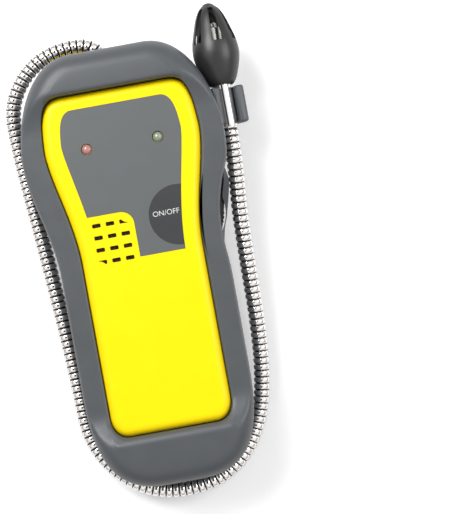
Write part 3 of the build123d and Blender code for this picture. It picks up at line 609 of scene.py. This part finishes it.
for tube in (fixed_tube, bend_tube, end_tube):
    tube.data.materials.append(chrome)
    tube.data.materials.append(groove_painted_shade)
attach(fixed_tube, "housing")
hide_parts("gooseneck")
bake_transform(bend_tube)
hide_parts("gooseneck_bend")
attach(end_tube, "probe")
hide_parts("gooseneck_end")



def dress(paint, *names):
    """Give a material to CAD nodes."""
    for name in names:
        cad[name].data.materials.clear()
        cad[name].data.materials.append(paint)


# Housing: two moulded ABS shells, bright yellow with a faint texture. The front one shows
# inside the boot, the rear one and the battery cover lie behind it
yellow = finish("shell_yellow", (1.0, 0.74, 0.0), 0.38, grain=1100.0, mottle=0.02, bump=0.05)
yellow.node_tree.nodes["Principled BSDF"].inputs["Specular IOR Level"].default_value = 0.25
dress(yellow, "front_shell", "rear_shell", "battery_cover")

# Panel: a printed grey label in the face's recess, with a darker half disc beside the wheel
# that marks its place, and the words ON/OFF on it
panel_grey = finish("panel_grey", (0.098, 0.107, 0.110), 0.46, grain=1600.0, mottle=0.03, bump=0.03)
panel_nodes = panel_grey.node_tree.nodes
panel_links = panel_grey.node_tree.links
disc_centre = (0.0197, 0.0199)
disc_radius = 0.0138
spot = panel_nodes.new("ShaderNodeTexCoord")
flat = panel_nodes.new("ShaderNodeVectorMath")
flat.operation = "MULTIPLY"
flat.inputs[1].default_value = (1, 1, 0)
reach = panel_nodes.new("ShaderNodeVectorMath")
reach.operation = "DISTANCE"
reach.inputs[1].default_value = (*disc_centre, 0)
inside = panel_nodes.new("ShaderNodeMath")
inside.operation = "LESS_THAN"
inside.inputs[1].default_value = disc_radius
disc = panel_nodes.new("ShaderNodeMix")
disc.data_type = "RGBA"
disc.inputs["B"].default_value = (0.024, 0.025, 0.027, 1)
panel_links.new(spot.outputs["Object"], flat.inputs[0])
panel_links.new(flat.outputs["Vector"], reach.inputs[0])
panel_links.new(reach.outputs["Value"], inside.inputs[0])
panel_links.new(inside.outputs["Value"], disc.inputs["Factor"])
panel_links.new(panel_nodes["tone"].outputs["Result"], disc.inputs["A"])
panel_links.new(disc.outputs["Result"], panel_nodes["Principled BSDF"].inputs["Base Color"])
dress(panel_grey, "panel_overlay")

ink = finish("panel_ink", (0.62, 0.62, 0.60), 0.5, grain=2000.0, mottle=0.05, bump=0.02)
word_data = bpy.data.curves.new("switch_word", "FONT")
word_data.body = "ON/OFF"
word_data.size = 0.0034
word_data.extrude = 0.00002
word_data.materials.append(ink)
word = bpy.data.objects.new("switch_word", word_data)
word.location = (0.0078, 0.0206, 0.04206)
bpy.context.scene.collection.objects.link(word)
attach(word, "housing")

# Lamps: two domed lenses of tinted resin, unlit, in short sleeves on the board
red = finish("lamp_red", (0.42, 0.20, 0.19), 0.16, grain=700.0, mottle=0.05, bump=0.01, coat=0.6)
green = finish("lamp_green", (0.24, 0.29, 0.21), 0.16, grain=700.0, mottle=0.05, bump=0.01, coat=0.6)
dress(red, "led_red")
dress(green, "led_green")

# Thumbwheel: black moulded nylon with a notched rim, pressed on the potentiometer's shaft
black = finish("wheel_black", (0.022, 0.022, 0.023), 0.38, grain=1300.0, mottle=0.12, bump=0.08)
dress(black, "thumbwheel")

# Ferrule: a turned sleeve, polished and plated, that the sensor tip sits on
ferrule_chrome = finish("ferrule_chrome", (0.88, 0.87, 0.86), 0.07, metal=1.0, mottle=0.03, bump=0.01)
dress(ferrule_chrome, "ferrule")

# Sensor tip: a cup and a slotted guard in satin black nylon, screwed together at the seam
tip_black = finish("tip_black", (0.019, 0.019, 0.020), 0.36, grain=1200.0, mottle=0.15, bump=0.07)
dress(tip_black, "probe_cup", "sensor_guard")

# Sensor: a pressed steel can with a satin face, seen through the guard's slots, in its socket
sensor_steel = finish("sensor_steel", (0.60, 0.59, 0.57), 0.26, metal=1.0, grain=900.0, mottle=0.1)
dress(sensor_steel, "sensor_can")

# Board and what is soldered to it: green lacquer over copper tracks, black and white mouldings
lacquer = finish("board_green", (0.015, 0.16, 0.055), 0.30, grain=900.0, mottle=0.15, bump=0.05)
board_nodes = lacquer.node_tree.nodes
tracks = board_nodes.new("ShaderNodeTexBrick")
tracks.inputs["Color1"].default_value = (0.015, 0.15, 0.05, 1)
tracks.inputs["Color2"].default_value = (0.018, 0.17, 0.06, 1)
tracks.inputs["Mortar"].default_value = (0.05, 0.30, 0.10, 1)
tracks.inputs["Scale"].default_value = 160.0
tracks.inputs["Mortar Size"].default_value = 0.06
board_place = board_nodes.new("ShaderNodeTexCoord")
board_links = lacquer.node_tree.links
board_links.new(board_place.outputs["Object"], tracks.inputs["Vector"])
board_links.new(tracks.outputs["Color"], board_nodes["Principled BSDF"].inputs["Base Color"])
dress(lacquer, "circuit_board")
inner_black = finish("internal_black", (0.025, 0.025, 0.027), 0.45, grain=800.0, mottle=0.2)
dress(inner_black, "microchip", "lamp_sleeves", "potentiometer", "sensor_socket")
white = finish("connector_white", (0.72, 0.70, 0.64), 0.45, grain=800.0, mottle=0.06)
dress(white, "lead_connector")
dress(black, "potentiometer_shaft")

# Speaker: a black paper cone in a steel basket, with a woven gauze behind the face's slots
cone = finish("speaker_black", (0.03, 0.03, 0.032), 0.6, grain=600.0, mottle=0.2, bump=0.2)
dress(cone, "speaker")
gauze = finish("gauze_black", (0.02, 0.02, 0.022), 0.85, grain=500.0, mottle=0.2, bump=0.3)
weave = gauze.node_tree.nodes.new("ShaderNodeTexChecker")
weave.inputs["Scale"].default_value = 2500.0
weave_place = gauze.node_tree.nodes.new("ShaderNodeTexCoord")
gauze.node_tree.links.new(weave_place.outputs["Object"], weave.inputs["Vector"])
gauze.node_tree.links.new(weave.outputs["Fac"], gauze.node_tree.nodes["relief"].inputs["Height"])
dress(gauze, "speaker_gauze")

# Cells: three C cells in printed jackets, a dark one with a copper-coloured band at the head,
# bare steel at both ends, between nickelled contacts
for name in ("battery_1", "battery_2", "battery_3"):
    low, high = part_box(name)
    jacket = finish(name, (0.03, 0.03, 0.034), 0.28, grain=700.0, mottle=0.08, bump=0.02)
    jacket_nodes = jacket.node_tree.nodes
    jacket_links = jacket.node_tree.links
    here = jacket_nodes.new("ShaderNodeTexCoord")
    apart = jacket_nodes.new("ShaderNodeSeparateXYZ")
    along = jacket_nodes.new("ShaderNodeMapRange")
    along.inputs["From Min"].default_value = low[1]
    along.inputs["From Max"].default_value = high[1]
    bands = jacket_nodes.new("ShaderNodeValToRGB")
    bands.color_ramp.interpolation = "CONSTANT"
    bands.color_ramp.elements[0].color = (0.5, 0.49, 0.47, 1)
    bands.color_ramp.elements[1].color = (0.5, 0.49, 0.47, 1)
    bands.color_ramp.elements[1].position = 0.965
    for stop, tint in ((0.02, (0.03, 0.03, 0.034, 1)), (0.72, (0.50, 0.24, 0.10, 1))):
        bands.color_ramp.elements.new(stop).color = tint
    jacket_links.new(here.outputs["Object"], apart.inputs["Vector"])
    jacket_links.new(apart.outputs["Y"], along.inputs["Value"])
    jacket_links.new(along.outputs["Result"], bands.inputs["Fac"])
    jacket_links.new(bands.outputs["Color"], jacket_nodes["Principled BSDF"].inputs["Base Color"])
    dress(jacket, name)
nickel = finish("contact_nickel", (0.66, 0.63, 0.57), 0.24, metal=1.0, grain=900.0, mottle=0.1)
dress(nickel, "spring_contacts", "plate_contacts")

# Screws: zinc-plated steel, and the tube's bush and nut: nickelled brass
screw_steel = finish("screw_steel", (0.56, 0.55, 0.53), 0.3, metal=1.0, grain=1000.0, mottle=0.12)
dress(screw_steel, "case_screws", "board_screws", "battery_cover_screw")
fitting = finish("fitting_nickel", (0.68, 0.65, 0.58), 0.2, metal=1.0, grain=900.0, mottle=0.08)
dress(fitting, "tube_fitting", "tube_nut")
